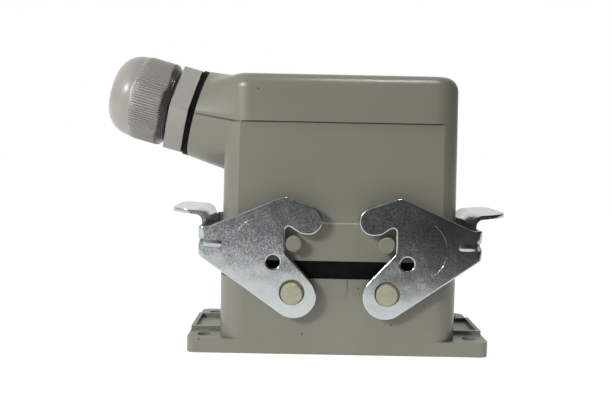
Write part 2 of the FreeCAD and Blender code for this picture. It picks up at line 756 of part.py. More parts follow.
def make_female_insert():
    body = new_body("FemaleInsert")
    block(body, "Pad", "female_seat", "insert_length", "insert_width", "insert_plate", "insert_corner")
    block(body, "Pad", "terminal_low", "terminal_length", "terminal_width",
          "female_seat + 1 - terminal_low")
    block(body, "Pad", "female_seat", "mating_length", "mating_width", f"{FEMALE_TOP} - female_seat",
          "insert_corner / 2")
    finish_insert(body, "terminal_low", FEMALE_TOP, "female_seat", FEMALE_SCREW_LEVEL)
    keep(body, "female_insert")


def finish_insert(body, bottom, top, plate_bottom, screw_level):
    """The contact chambers of an insert, the screw bores to them and its four fixing holes."""
    rounds(body, bottom, CONTACT_PLACES, "contact_body + 2 * seat_gap", "Pocket",
           f"{top} - {bottom} + 1", backwards=True)
    rounds(body, plate_bottom, INSERT_FIXINGS, "insert_screw + 0.4", "Pocket", "insert_plate + 1",
           backwards=True)
    bores = [(x, screw_level) for x in ROW]
    cross_rounds(body, bores, "terminal_screw + 2 * seat_gap", "Pocket", "terminal_width + 2")


def make_contacts():
    body = "contact_body / 2"
    pin = "contact_pin / 2"
    male_top = f"({MALE_TERMINAL_TOP} - 1)"
    tip = f"({FEMALE_TOP} - pin_overlap)"
    female_top = f"({FEMALE_TOP} - 1)"
    female_bottom = "(terminal_low + 1)"
    bore = f"({pin} + running_gap / 2)"
    male = [("0", tip), ("0", male_top), (body, male_top), (body, MALE_FLOOR), (pin, MALE_FLOOR),
            (pin, f"{tip} + 1"), (f"{pin} / 2", tip)]
    female = [("0", female_bottom), ("0", f"{tip} - 1"), (bore, f"{tip} - 1"), (bore, female_top),
              (body, female_top), (body, female_bottom)]
    for number, (x, y) in enumerate(CONTACT_PLACES, start=1):
        turned("MaleContact", f"male_contact_{number}", male, x, y)
        turned("FemaleContact", f"female_contact_{number}", female, x, y)


def solids(label, shapes):
    """Equal fasteners as one piece of separate solids."""
    group = doc.addObject("Part::Compound", "Fasteners")
    group.Links = shapes
    doc.recompute()
    keep(group, label)


def rod(diameter, length, x, y, z, axis=None, turn=0):
    """A round bar whose middle line starts at x, y, z and runs up, or is turned about an axis."""
    bar = doc.addObject("Part::Cylinder", "Rod")
    bind(bar, "Radius", f"({diameter}) / 2")
    bind(bar, "Height", length)
    if axis:
        bar.Placement = Placement(Vector(), Rotation(axis, turn))
    bind(bar, "Placement.Base.x", x)
    bind(bar, "Placement.Base.y", y)
    bind(bar, "Placement.Base.z", z)
    return bar


def make_fasteners():
    """Insert screws from the mating side into the lugs, and side screws that clamp the wires."""
    head = "insert_screw_head_height"
    shank = "insert_plate + lug_height - 3"
    for label, head_level, shank_level in (
            ("male_insert_screws", f"{MALE_PLATE_BOTTOM} - {head}", MALE_PLATE_BOTTOM),
            ("female_insert_screws", FEMALE_PLATE_TOP, f"{FEMALE_PLATE_TOP} - ({shank})")):
        screws = []
        for x, y in INSERT_FIXINGS:
            screw = doc.addObject("Part::Fuse", "Screw")
            screw.Base = rod("insert_screw - 2 * seat_gap", shank, x, y, shank_level)
            screw.Tool = rod("insert_screw_head", head, x, y, head_level)
            screws.append(screw)
        solids(label, screws)
    start = "(contact_row / 2 + contact_body / 2 + seat_gap)"
    reach = f"terminal_width / 2 - 1 - {start}"
    for label, level in (("male_terminal_screws", MALE_SCREW_LEVEL),
                         ("female_terminal_screws", FEMALE_SCREW_LEVEL)):
        screws = []
        for side, turn in ((-1, 90), (1, -90)):
            for x in ROW:
                screws.append(rod("terminal_screw", reach, x, f"{side} * {start}", level,
                                  Vector(1, 0, 0), turn))
        solids(label, screws)


def make_earth_plates():
    """A bent earth plate and its screw at each short end of each insert."""
    inner = "(terminal_length / 2 + earth_gap)"
    outer = "(insert_length / 2)"
    screws = []
    for label, level, up in (("male", MALE_PLATE_TOP, 1), ("female", "female_seat", -1)):
        for side, sign in (("left", -1), ("right", 1)):
            body = new_body("EarthPlate")
            profile = sketch_on(body, "XZ_Plane")
            polygon(profile, [
                (f"{sign} * {inner}", level),
                (f"{sign} * {outer}", level),
                (f"{sign} * {outer}", f"{level} + {up} * earth_plate"),
                (f"{sign} * ({inner} + earth_plate)", f"{level} + {up} * earth_plate"),
                (f"{sign} * ({inner} + earth_plate)", f"{level} + {up} * earth_rise"),
                (f"{sign} * {inner}", f"{level} + {up} * earth_rise")])
            pad(body, profile, "earth_width", both=True)
            keep(body, f"{label}_earth_{side}")
            middle = f"({inner} + {outer} + earth_plate) / 2"
            start = f"{level} + earth_plate" if up > 0 else f"{level} - earth_plate - earth_screw_height"
            screws.append(rod("earth_screw", "earth_screw_height", f"{sign} * {middle}", "0", start))
    solids("earth_screws", screws)


# Cable gland, each piece drawn along its own axis and set on the neck's end face

CAGE_LOW = "(washer_thickness + 2)"
CAGE_HIGH = "(washer_thickness + gland_hex_thickness + gland_thread_length + 1)"
CAGE_OUTSIDE = "(gland_bore / 2 - running_gap)"
CAGE_INSIDE = f"({CAGE_OUTSIDE} - cage_wall)"


def set_on_neck(piece):
    piece.Placement = Placement(Vector(), Rotation(Vector(0, -1, 0), value("90 - neck_tilt")))
    bind(piece, "Placement.Rotation.Angle", "90 - neck_tilt")
    bind(piece, "Placement.Base.x", "-hood_length / 2 - neck_reach")
    bind(piece, "Placement.Base.z", f"{HOOD_BOTTOM} + neck_level")
    doc.recompute()


def make_gland():
    hole = "(entry_bore / 2 + running_gap)"
    set_on_neck(turned("GlandGasket", "gland_gasket", [
        (hole, "0"), (hole, "washer_thickness"), ("neck_diameter / 2", "washer_thickness"),
        ("neck_diameter / 2", "0")]))

    body = new_body("GlandBody")
    hexagon = sketch_on(body, "XY_Plane", {"z": "washer_thickness"})
    corner = "gland_hex / 2 / cos(30 deg)"
    turns = [-60 * step - 30 for step in range(6)]
    polygon(hexagon, [(f"{corner} * cos({turn} deg)", f"{corner} * sin({turn} deg)") for turn in turns])
    pad(body, hexagon, "gland_hex_thickness")
    middle = [("0", "0")]
    rounds(body, "washer_thickness + 1", middle, "entry_bore", "Pad",
           "gland_spigot + washer_thickness + 1", backwards=True)
    rounds(body, "washer_thickness + 1", middle, "gland_thread", "Pad",
           "gland_hex_thickness - 1 + gland_thread_length")
    rounds(body, "-gland_spigot - 1", middle, "gland_bore", "Pocket", "100", backwards=True)
    keep(body, "gland_body")
    set_on_neck(body)

    cage = new_body("ClampCage")
    rounds(cage, CAGE_LOW, middle, f"2 * {CAGE_OUTSIDE}", "Pad", f"{CAGE_HIGH} - {CAGE_LOW}")
    rounds(cage, CAGE_LOW, middle, f"2 * {CAGE_INSIDE}", "Pocket", "100", backwards=True)
    slots = sketch_on(cage, "XZ_Plane")
    rectangle(slots, "cage_slot_width", "2 * cage_slot_length", y=CAGE_HIGH)
    slot = pocket(cage, slots, "40", both=True)
    pattern = cage.newObject("PartDesign::PolarPattern", "Slots")
    pattern.Originals = [slot]
    pattern.Axis = (slots, ["V_Axis"])
    pattern.Angle = 180
    pattern.Occurrences = CAGE_SLOTS // 2 + 1
    cage.Tip = pattern
    doc.recompute()
    keep(cage, "clamp_cage")
    set_on_neck(cage)

    seal_outside = f"({CAGE_INSIDE} - running_gap)"
    set_on_neck(turned("GlandSeal", "gland_seal", [
        ("cable_bore / 2", CAGE_LOW), ("cable_bore / 2", CAGE_HIGH),
        (seal_outside, CAGE_HIGH), (seal_outside, CAGE_LOW)]))


def make_dome_nut():
    """The cap nut: a ribbed hexagon within a turned form with a chamfer and a domed end."""
    low = value("washer_thickness + gland_hex_thickness + nut_gap")
    length = value("nut_length")
    dome = value("nut_dome")
    flats = value("nut_flats / 2")
    corners = value("nut_corners / 2")
    bore = value("gland_thread / 2 + running_gap")
    mouth = value("nut_mouth / 2")
    relief = value("rib_relief")
    smooth = flats - relief
    shoulder = low + length - dome
    cage_stop = value(CAGE_HIGH) + value("running_gap")

    dome_centre = smooth - dome
    rim = shoulder + math.sqrt(dome ** 2 - (mouth - dome_centre) ** 2)
    bulge = Vector(dome_centre + dome * math.cos(0.6), 0, shoulder + dome * math.sin(0.6))
    chamfer_start = bore + value("nut_lip")
    points = [Vector(bore, 0, low), Vector(chamfer_start, 0, low),
              Vector(corners, 0, low + corners - chamfer_start), Vector(corners, 0, shoulder),
              Vector(smooth, 0, shoulder)]
    edges = [Part.makeLine(first, second) for first, second in zip(points, points[1:])]
    edges.append(Part.Arc(points[-1], bulge, Vector(mouth, 0, rim)).toShape())
    inside = [Vector(mouth, 0, rim), Vector(mouth, 0, cage_stop + 2), Vector(bore, 0, cage_stop),
              points[0]]
    edges += [Part.makeLine(first, second) for first, second in zip(inside, inside[1:])]
    form = Part.Face(Part.Wire(edges)).revolve(Vector(), Vector(0, 0, 1), 360)

    ribbed = []
    for index in range(2 * NUT_RIBS):
        angle = math.pi * index / NUT_RIBS
        from_flat = (angle + math.pi / 6) % (math.pi / 3) - math.pi / 6
        reach = min(flats / math.cos(from_flat), corners)
        reach -= relief if index % 2 else 0.0
        ribbed.append(Vector(reach * math.cos(angle), reach * math.sin(angle), low - 1))
    ribbed.append(ribbed[0])
    prism = Part.Face(Part.makePolygon(ribbed)).extrude(Vector(0, 0, length + 2))
    nut = doc.addObject("Part::Feature", "DomeNut")
    nut.Shape = form.common(prism)
    keep(nut, "dome_nut")
    set_on_neck(nut)


make_housing()
make_housing_gasket()
make_hood()
make_pivot_pins()
make_levers()
make_male_insert()
make_female_insert()
make_contacts()
make_fasteners()
make_earth_plates()
make_gland()
make_dome_nut()

doc.recompute()
faults = [item.Label for item in doc.Objects if "Invalid" in item.State or "Error" in item.State]
faults += [item.Label for item in parts if item.Shape.isNull() or not item.Shape.isValid()]
if faults:
    raise RuntimeError("These objects failed: " + ", ".join(faults))
os.makedirs("parts", exist_ok=True)
for item in parts:
    item.Shape.exportStep(f"parts/{item.Label}.step")
print(len(parts), "pieces written")
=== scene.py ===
import json
import math

import bmesh
import bpy
from mathutils import Matrix, Vector
from mathutils.bvhtree import BVHTree


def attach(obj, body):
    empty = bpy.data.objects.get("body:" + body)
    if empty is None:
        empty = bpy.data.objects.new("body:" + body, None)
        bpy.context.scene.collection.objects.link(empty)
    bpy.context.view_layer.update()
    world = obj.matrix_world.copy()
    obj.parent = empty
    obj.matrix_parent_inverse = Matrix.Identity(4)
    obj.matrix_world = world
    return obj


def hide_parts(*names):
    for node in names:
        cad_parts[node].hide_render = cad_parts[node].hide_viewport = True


MM = 0.001

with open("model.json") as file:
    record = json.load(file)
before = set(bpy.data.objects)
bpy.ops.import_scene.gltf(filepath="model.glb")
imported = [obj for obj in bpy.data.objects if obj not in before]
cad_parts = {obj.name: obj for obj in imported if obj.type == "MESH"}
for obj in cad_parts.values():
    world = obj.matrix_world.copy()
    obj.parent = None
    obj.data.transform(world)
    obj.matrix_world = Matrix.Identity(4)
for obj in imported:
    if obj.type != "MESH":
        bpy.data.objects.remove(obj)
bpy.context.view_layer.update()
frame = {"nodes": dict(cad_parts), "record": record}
nodes = frame["nodes"]


# Materials

class Nodes:
    """A node tree, with short ways to add nodes to it and link them."""

    def __init__(self, tree):
        self.tree = tree

    def node(self, kind, inputs=None, **settings):
        made = self.tree.nodes.new(kind)
        for name, setting in settings.items():
            setattr(made, name, setting)
        for name, given in (inputs or {}).items():
            self.give(made, name, given)
        return made

    def give(self, made, name, given):
        """Set an input to a number or colour, or link it to another node's output."""
        if isinstance(given, bpy.types.NodeSocket):
            self.tree.links.new(given, made.inputs[name])
        else:
            made.inputs[name].default_value = given

    def ramp(self, factor, *stops):
        """A colour or grey for each position along a factor."""
        made = self.node("ShaderNodeValToRGB", {"Fac": factor})
        elements = made.color_ramp.elements
        while len(elements) < len(stops):
            elements.new(0.5)
        for element, (position, colour) in zip(elements, stops):
            element.position = position
            element.color = colour if len(colour) == 4 else (*colour, 1.0)
        return made.outputs["Color"]

    def maths(self, operation, first, second):
        return self.node("ShaderNodeMath", {0: first, 1: second}, operation=operation).outputs[0]

    def remap(self, factor, low, high, from_low=0.0, from_high=1.0):
        return self.node("ShaderNodeMapRange", {
            "Value": factor, "From Min": from_low, "From Max": from_high, "To Min": low,
            "To Max": high}).outputs["Result"]

    def mix(self, factor, first, second):
        """Two colours mixed, the second in full where the factor is one."""
        made = self.node("ShaderNodeMix", data_type="RGBA")
        self.give(made, 0, factor)
        self.give(made, 6, first)
        self.give(made, 7, second)
        return made.outputs[2]


class Material(Nodes):
    """A procedural material, placed by the object's own coordinates in metres."""

    def __init__(self, name):
        self.material = bpy.data.materials.new(name)
        self.material.use_nodes = True
        super().__init__(self.material.node_tree)
        self.surface = self.tree.nodes["Principled BSDF"]
        self.place = self.node("ShaderNodeTexCoord").outputs["Object"]

    def set(self, **inputs):
        """Set or link the shader's inputs, with underscores for the spaces in their names."""
        for name, given in inputs.items():
            self.give(self.surface, name.replace("_", " "), given)

    def noise(self, size, detail=3.0, roughness=0.5, place=None):
        """Noise whose features are about size metres across."""
        made = self.node("ShaderNodeTexNoise", {
            "Vector": place or self.place, "Scale": 1.0 / size, "Detail": detail,
            "Roughness": roughness})
        return made.outputs["Fac"]

    def bump(self, height, depth, strength=1.0):
        """Bend the surface by a height map, depth in metres for a height of one."""
        made = self.node("ShaderNodeBump", {"Height": height, "Strength": strength, "Distance": depth})
        if self.surface.inputs["Normal"].links:
            self.give(made, "Normal", self.surface.inputs["Normal"].links[0].from_socket)
        self.give(self.surface, "Normal", made.outputs["Normal"])


def grey(level):
    return (level, level, level, 1.0)


def paint_material():
    """Powder coat with a green-brown cast: orange peel, soft mottling and a few dark nicks."""
    paint = Material("grey_powder_coat")
    mottle = paint.noise(0.018, 4.0, 0.6)
    colour = paint.ramp(mottle, (0.25, (0.171, 0.170, 0.136)), (0.75, (0.187, 0.186, 0.148)))
    fine = paint.noise(0.0007, 2.0)
    colour = paint.mix(paint.remap(fine, 0.0, 0.12), colour, (0.26, 0.255, 0.22, 1.0))
    nicks = paint.ramp(paint.noise(0.0017, 0.0), (0.125, grey(1.0)), (0.14, grey(0.0)))
    colour = paint.mix(nicks, colour, (0.035, 0.033, 0.028, 1.0))
    paint.set(Base_Color=colour, Roughness=paint.remap(paint.noise(0.006), 0.29, 0.36))
    paint.bump(paint.noise(0.0012, 2.0, 0.4), 0.000035)
    paint.bump(paint.noise(0.014, 2.0, 0.5), 0.00022, 0.7)
    return paint.material


def rubber_material():
    """Near black rubber with hardly any shine."""
    rubber = Material("black_rubber")
    colour = rubber.ramp(rubber.noise(0.002, 5.0, 0.7), (0.4, (0.0016, 0.0016, 0.0012)),
                         (0.75, (0.005, 0.005, 0.0042)))
    rubber.set(Base_Color=colour, Roughness=rubber.remap(rubber.noise(0.003, 5.0), 0.5, 0.7),
               Specular_IOR_Level=0.08)
    rubber.bump(rubber.noise(0.0009, 4.0), 0.00004)
    return rubber.material


def zinc_material():
    """Zinc plated sheet: fine crystals, each tilted a little, under broad dull and bright patches."""
    zinc = Material("zinc_plated_sheet")
    crystals = zinc.node("ShaderNodeTexVoronoi", {"Vector": zinc.place, "Scale": 3200.0})
    shade = zinc.node("ShaderNodeSeparateColor", {"Color": crystals.outputs["Color"]}).outputs[0]
    patches = zinc.noise(0.011, 3.0, 0.6)

    # The grain shows in the upper part of the levers, above a wavy level. The crystals are the zinc's own
    # grain, but the darkening they give only up there is painted shade on the levers' upper parts
    height = zinc.node("ShaderNodeSeparateXYZ", {"Vector": zinc.place}).outputs["Z"]
    wavy = zinc.maths("ADD", height, zinc.remap(patches, -0.006, 0.006))
    grainy = zinc.remap(wavy, 0.0, 1.0, 0.02, 0.036)
    colour = zinc.ramp(patches, (0.3, (0.47, 0.50, 0.50)), (0.7, (0.56, 0.60, 0.59)))
    grain_and_painted_shade = zinc.maths("MULTIPLY", zinc.remap(shade, 0.0, 0.5), grainy)
    colour = zinc.mix(grain_and_painted_shade, colour, (0.34, 0.34, 0.37, 1.0))
    zinc.set(Metallic=1.0, Base_Color=colour, Roughness=zinc.remap(patches, 0.15, 0.25))

    # Each crystal's colour, less a half, tilts its own normal
    tilt = zinc.node("ShaderNodeVectorMath", {0: crystals.outputs["Color"], 1: (0.5, 0.5, 0.5)},
                     operation="SUBTRACT").outputs[0]
    amount = zinc.remap(grainy, 0.012, 0.052)
    tilt = zinc.node("ShaderNodeVectorMath", {0: tilt, "Scale": amount}, operation="SCALE").outputs[0]
    facing = zinc.node("ShaderNodeNewGeometry").outputs["Normal"]
    facing = zinc.node("ShaderNodeVectorMath", {0: facing, 1: tilt}, operation="ADD").outputs[0]
    facing = zinc.node("ShaderNodeVectorMath", {0: facing}, operation="NORMALIZE").outputs[0]
    zinc.set(Normal=facing)
    zinc.bump(zinc.noise(0.016, 2.0), 0.0006, 0.6)
    return zinc.material


def nickel_material():
    """Sawn pin ends, ivory toned, with short scratches across them."""
    nickel = Material("nickel_pin")
    stretched = nickel.node("ShaderNodeMapping", {
        "Vector": nickel.place, "Rotation": (0.0, 0.9, 0.0), "Scale": (1.0, 1.0, 9.0)}).outputs["Vector"]
    scratches = nickel.noise(0.0014, 5.0, 0.75, place=stretched)
    blotches = nickel.noise(0.002, 3.0)
    colour = nickel.ramp(scratches, (0.35, (0.34, 0.32, 0.23)), (0.65, (0.52, 0.50, 0.385)))
    colour = nickel.mix(nickel.remap(blotches, 0.0, 0.5), colour, (0.30, 0.27, 0.19, 1.0))
    nickel.set(Metallic=0.6, Base_Color=colour, Roughness=nickel.remap(scratches, 0.3, 0.55))
    nickel.bump(scratches, 0.00005)
    return nickel.material


def nylon_material():
    """Smooth moulded nylon, light pinkish grey with faint flow streaks."""
    nylon = Material("grey_nylon")
    colour = nylon.ramp(nylon.noise(0.012, 3.0, 0.6), (0.3, (0.274, 0.258, 0.235)),
                        (0.7, (0.32, 0.303, 0.278)))
    nylon.set(Base_Color=colour, Roughness=nylon.remap(nylon.noise(0.004), 0.26, 0.36),
              Subsurface_Weight=0.08, Subsurface_Radius=(0.0012, 0.001, 0.0009))
    nylon.bump(nylon.noise(0.0009, 2.0), 0.00001)
    return nylon.material


def insert_material():
    """Light grey moulded plastic for the contact carriers."""
    plastic = Material("insert_plastic")
    colour = plastic.ramp(plastic.noise(0.01, 3.0), (0.3, (0.42, 0.42, 0.40)),
                          (0.7, (0.48, 0.48, 0.46)))
    plastic.set(Base_Color=colour, Roughness=0.55)
    plastic.bump(plastic.noise(0.0006, 2.0), 0.00002)
    return plastic.material


def metal_material(name, dark, light, low, high):
    """Turned metal with fine marks that catch the light unevenly."""
    metal = Material(name)
    marks = metal.noise(0.0012, 5.0, 0.7)
    metal.set(Metallic=1.0, Base_Color=metal.ramp(marks, (0.3, dark), (0.7, light)),
              Roughness=metal.remap(marks, low, high))
    metal.bump(marks, 0.00001)
    return metal.material


def dark_finish(name, shade, roughness):
    """Painted shade: a dark finish for the shadow line at a seam and for a thread in a shaded gap."""
    dark = Material(name)
    lighter = [1.7 * part for part in shade]
    colour = dark.ramp(dark.noise(0.0012, 4.0, 0.7), (0.35, shade), (0.7, lighter))
    dark.set(Base_Color=colour, Roughness=dark.remap(dark.noise(0.002), roughness, roughness + 0.15))
    return dark.material


finishes = {
    "grey_casting": paint_material(),
    "black_rubber": rubber_material(),
    "zinc_sheet": zinc_material(),
    "nickel": nickel_material(),
    "screw_steel": metal_material("screw_steel", (0.45, 0.45, 0.44), (0.65, 0.65, 0.63), 0.25, 0.4),
    "insert_plastic": insert_material(),
    "contact_brass": metal_material("contact_plating", (0.62, 0.52, 0.33), (0.80, 0.72, 0.52),
                                    0.22, 0.35),
    "gland_nylon": nylon_material(),
}
# Painted shade: the dark seam finish paints the shadow line under the parting line's overhang
seam_shade = dark_finish("painted_seam_shade", (0.045, 0.044, 0.036), 0.6)
# Painted shade: a dark glossy finish for the nut's chamfer and the bared thread, which lie in a shaded gap
thread_shade = dark_finish("painted_thread_shade", (0.05, 0.052, 0.048), 0.18)

for row in frame["record"]["subparts"]:
    mesh = nodes[row["node"]].data
    mesh.materials.clear()
    mesh.materials.append(finishes[row["material_slot"]])


# Pieces, with their sizes and places in millimetres

def add_piece(name, mesh, body, slot, smooth_angle=35.0):
    """Finish a mesh in metres, shade it smooth but for its sharp edges, and let it ride on a body."""
    mesh.materials.append(finishes[slot])
    for face in mesh.polygons:
        face.use_smooth = True
    mesh.set_sharp_from_angle(angle=math.radians(smooth_angle))
    made = bpy.data.objects.new(name, mesh)
    bpy.context.scene.collection.objects.link(made)
    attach(made, body)
    return made


def mesh_of(name, points, faces):
    """A mesh with the given points and faces."""
    mesh = bpy.data.meshes.new(name)
    mesh.from_pydata(points, [], faces)
    mesh.validate()
    return mesh


def rings_to_mesh(name, rings, caps=False, loop=False):
    """A mesh from closed rings of points, each joined to the next, and with loop the last to the
    first."""
    count = len(rings[0])
    points = [point for ring in rings for point in ring]
    faces = []
    for level in range(len(rings) if loop else len(rings) - 1):
        here = level * count
        there = (level + 1) % len(rings) * count
        for index in range(count):
            after = (index + 1) % count
            faces.append((here + index, here + after, there + after, there + index))
    if caps:
        faces.append(tuple(range(count))[::-1])
        faces.append(tuple(range((len(rings) - 1) * count, len(rings) * count)))
    return mesh_of(name, points, faces)


# The gland stands on the neck's end face, tilted up from the level
NECK_TILT = math.radians(15.0)
NECK_END = Vector((-45.6, 0.0, 73.4))
gland_turn = Matrix.Rotation(math.radians(90.0) - NECK_TILT, 3, Vector((0, -1, 0)))


def on_gland(radius, angle, along):
    """A place about the gland's axis, from millimetres to metres."""
    local = Vector((radius * math.cos(angle), radius * math.sin(angle), along))
    return (NECK_END + gland_turn @ local) * MM


# The cap nut: a ribbed hexagon that runs out into a dome, with a toothed chamfer at its foot
NUT_LOW = 9.0
NUT_SHOULDER = 20.7
NUT_FLAT = 13.3
NUT_CORNER = 13.85
NUT_ROUND = 13.03
NUT_BORE = 10.72
NUT_MOUTH = 7.0
NUT_DOME = 7.8
CAGE_STOP = 21.9
MOUTH_ROUND = 0.35
SLOPE_LENGTH = 2.0
BEVEL_LENGTH = 0.1
BEVEL_WIDTH = 0.15
RIBS = 104
RIB_POINTS = 6
RIB_SHAPE = (0.0, 0.0, 0.1, 0.5, 0.5, 0.1)
RIB_FADE = 3.0
CHAMFER_RADIUS = 11.6
CHAMFER_SLOPE = 1.02
CHAMFER_END = 11.3
TOOTH_DEPTH = 0.11
TOOTH_PITCH = 0.62
FINE_STEP = 0.1
COARSE_STEPS = 6
FADE_STEPS = 8
DOME_STEPS = 16


def nut_reach(index, along):
    """Distances from the axis to the nut's chamfer and to its ribbed side, at one of its points."""
    angle = 2 * math.pi * index / (RIBS * RIB_POINTS)
    from_flat = (angle + math.pi / 6) % (math.pi / 3) - math.pi / 6
    side = min(NUT_FLAT / math.cos(from_flat), NUT_CORNER)
    # Towards the dome the ribs run out and the hexagon becomes round
    fade = min(max((along - NUT_SHOULDER + RIB_FADE) / RIB_FADE, 0.0), 1.0)
    side += (NUT_ROUND - side) * fade ** 2
    side -= RIB_SHAPE[index % RIB_POINTS] * (1.0 - fade ** 2)
    tooth = TOOTH_DEPTH * math.sin(2 * math.pi * (along - NUT_LOW) / TOOTH_PITCH)
    chamfer = CHAMFER_RADIUS + (along - NUT_LOW) * CHAMFER_SLOPE + tooth
    return chamfer, side


def nut_levels():
    """Levels along the nut's side: fine over the chamfer, then coarser to the dome."""
    fine = round((CHAMFER_END - NUT_LOW) / FINE_STEP)
    levels = [NUT_LOW + FINE_STEP * step for step in range(fine + 1)]
    plain = NUT_SHOULDER - RIB_FADE - CHAMFER_END
    levels += [CHAMFER_END + plain * step / COARSE_STEPS for step in range(1, COARSE_STEPS + 1)]
    levels += [NUT_SHOULDER - RIB_FADE + RIB_FADE * step / FADE_STEPS for step in range(1, FADE_STEPS + 1)]
    return levels


def nut_round_rings(turns):
    """The round rings of the nut: over its dome, in at its mouth and down its bore."""
    centre = NUT_ROUND - NUT_DOME
    last = math.acos((NUT_MOUTH + MOUTH_ROUND - centre) / NUT_DOME)
    places = []
    for step in range(1, DOME_STEPS + 1):
        swing = last * step / DOME_STEPS
        places.append((centre + NUT_DOME * math.cos(swing), NUT_SHOULDER + NUT_DOME * math.sin(swing)))
    # The mouth's rounded edge and its wall, the slope that stops the cage, and the bore's bevel
    rim = NUT_SHOULDER + NUT_DOME * math.sin(last)
    places += [(NUT_MOUTH + 0.1, rim - 0.05), (NUT_MOUTH, rim - 0.3),
               (NUT_MOUTH, CAGE_STOP + SLOPE_LENGTH), (NUT_BORE, CAGE_STOP),
               (NUT_BORE, NUT_LOW + BEVEL_LENGTH), (NUT_BORE + BEVEL_WIDTH, NUT_LOW)]
    return [[on_gland(radius, turn, along) for turn in turns] for radius, along in places]


def make_nut():
    total = RIBS * RIB_POINTS
    turns = [2 * math.pi * index / total for index in range(total)]
    rings = []
    chamfered = set()
    for level, along in enumerate(nut_levels()):
        ring = []
        for index, turn in enumerate(turns):
            chamfer, side = nut_reach(index, along)
            if chamfer < side:
                chamfered.add((level, index))
            ring.append(on_gland(min(chamfer, side), turn, along))
        rings.append(ring)
    rings += nut_round_rings(turns)
    mesh = rings_to_mesh("ribbed_cap_nut", rings, loop=True)
    nut = add_piece("ribbed_cap_nut", mesh, "cap", "gland_nylon", smooth_angle=28.0)
    # The chamfer's faces at the nut's foot take the dark finish, painted shade for the narrow gap they
    # face
    mesh.materials.append(thread_shade)
    for face in mesh.polygons:
        level, index = divmod(face.index, total)
        if (level, index) in chamfered and (level + 1, index) in chamfered:
            face.material_index = 1
    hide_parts("dome_nut")


make_nut()


# The bared turns of the gland's thread, in the gap between its hexagon and the nut, finished dark as
# painted shade for the gap
THREAD_LOW = 7.75
THREAD_TURNS = 2
THREAD_PITCH = 0.6
THREAD_FOOT = 0.28
THREAD_INSIDE = 10.45
THREAD_ROOT = 10.5
THREAD_HEIGHT = 0.6
THREAD_STEPS = 96
THREAD_FADE = 8


def make_thread():
    rings = []
    total = THREAD_TURNS * THREAD_STEPS
    for index in range(total + 1):
        angle = 2 * math.pi * index / THREAD_STEPS
        along = THREAD_LOW + THREAD_PITCH * index / THREAD_STEPS
        fade = min(1.0, index / THREAD_FADE, (total - index) / THREAD_FADE)
        rings.append([on_gland(THREAD_INSIDE, angle, along - THREAD_FOOT),
                      on_gland(THREAD_ROOT + THREAD_HEIGHT * fade, angle, along),
                      on_gland(THREAD_INSIDE, angle, along + THREAD_FOOT)])
    mesh = rings_to_mesh("bared_thread", rings, caps=True)
    add_piece("bared_thread", mesh, "shell", "gland_nylon", smooth_angle=60.0)
    # The thread takes the dark finish, painted shade for the gap
    mesh.materials[0] = thread_shade


make_thread()


# The neck widens into the hood's rounded corners, and its upper half stands proud at the parting line
PARTING = 71.2
NECK_RADIUS = 14.0
PROUD = 0.25
FLUSH = 0.02
FLARE_START = -0.08
FLARE_END = -32.0
FLARE_STEPS = 10
FLARE_BELOW = 30
FLARE_TUCK = Vector((1.2, 0.0, 0.0))
FLARE_DRAW = 0.25
LOWER_BACK = 0.4
LOWER_SWEEP = 4.3
LOWER_SINK = 0.3
LOWER_DIVE = 2.0
OUTSIDE = 60.0
surface_of_hood = BVHTree.FromObject(nodes["hood"], bpy.context.evaluated_depsgraph_get())


def on_hood(x, angle):
    """Where a ray from the middle of the section at x meets the outside of the hood, in metres."""
    way = Vector((0.0, -math.cos(angle), math.sin(angle)))
    start = Vector((x, 0.0, PARTING)) * MM + way * OUTSIDE * MM
    return surface_of_hood.ray_cast(start, -way)[0]


def flare_turns():
    """The flare's angles about the neck, each with whether it is on the proud upper half."""
    lower = [math.radians(turn) for turn in (-FLARE_BELOW, -25, -20, -15, -10, -5, -1.5)]
    upper = [math.radians(turn) for turn in range(0, 181, 4)]
    mirrored = [math.pi - turn for turn in reversed(lower)]
    return [(turn, turn in upper) for turn in lower + upper + mirrored]


def flare_start(turn, proud):
    """A place on the flare's edge at the neck's round end."""
    reach = NECK_RADIUS + (PROUD if proud else FLUSH)
    local = Vector((reach * math.sin(turn), -reach * math.cos(turn), FLARE_START))
    return (NECK_END + gland_turn @ local) * MM


def flare_stop(turn, proud):
    """A place on the flare's edge at the hood: on its surface above the parting line, and ever
    further under it below."""
    if proud:
        return on_hood(FLARE_END, turn)
    fade = max(-turn, turn - math.pi, 0.0) / math.radians(FLARE_BELOW)
    place = on_hood(FLARE_END - LOWER_BACK - LOWER_SWEEP * fade, turn)
    inward = Vector((0.0, math.cos(turn), -math.sin(turn)))
    return place + inward * (LOWER_SINK + LOWER_DIVE * fade) * MM


def drawn_in(ring):
    """A ring drawn in towards its middle, which closes the flare inside the casting."""
    middle = Vector((0.0, 0.0, 0.0))
    for point in ring:
        middle += point / len(ring)
    return [point.lerp(middle, FLARE_DRAW) for point in ring]


def make_flare():
    turns = flare_turns()
    edges = [(flare_start(*turn), flare_stop(*turn)) for turn in turns]
    rings = []
    for step in range(FLARE_STEPS + 1):
        rings.append([first.lerp(last, step / FLARE_STEPS) for first, last in edges])
    tucked = [point + FLARE_TUCK * MM for point in drawn_in(rings[-1])]
    mesh = rings_to_mesh("neck_flare", [drawn_in(rings[0]), *rings, tucked], caps=True)
    add_piece("neck_flare", mesh, "shell", "grey_casting", smooth_angle=40.0)

    # The seam is the strip between the proud upper half and the flush lower one, finished dark as the
    # painted shadow line under the proud half
    mesh.materials.append(seam_shade)
    seams = [index for index in range(len(turns) - 1) if turns[index][1] != turns[index + 1][1]]
    for face in mesh.polygons:
        if len(face.vertices) == 4 and face.index % len(turns) in seams:
            face.material_index = 1


make_flare()


# Mouldings along the hood's front and rear
ALONG_STEPS = 72


def front_of_hood(x, level):
    """The hood's front face at a place and level, in metres."""
    return surface_of_hood.ray_cast(Vector((x, -OUTSIDE, level)) * MM, Vector((0, 1, 0)))[0]


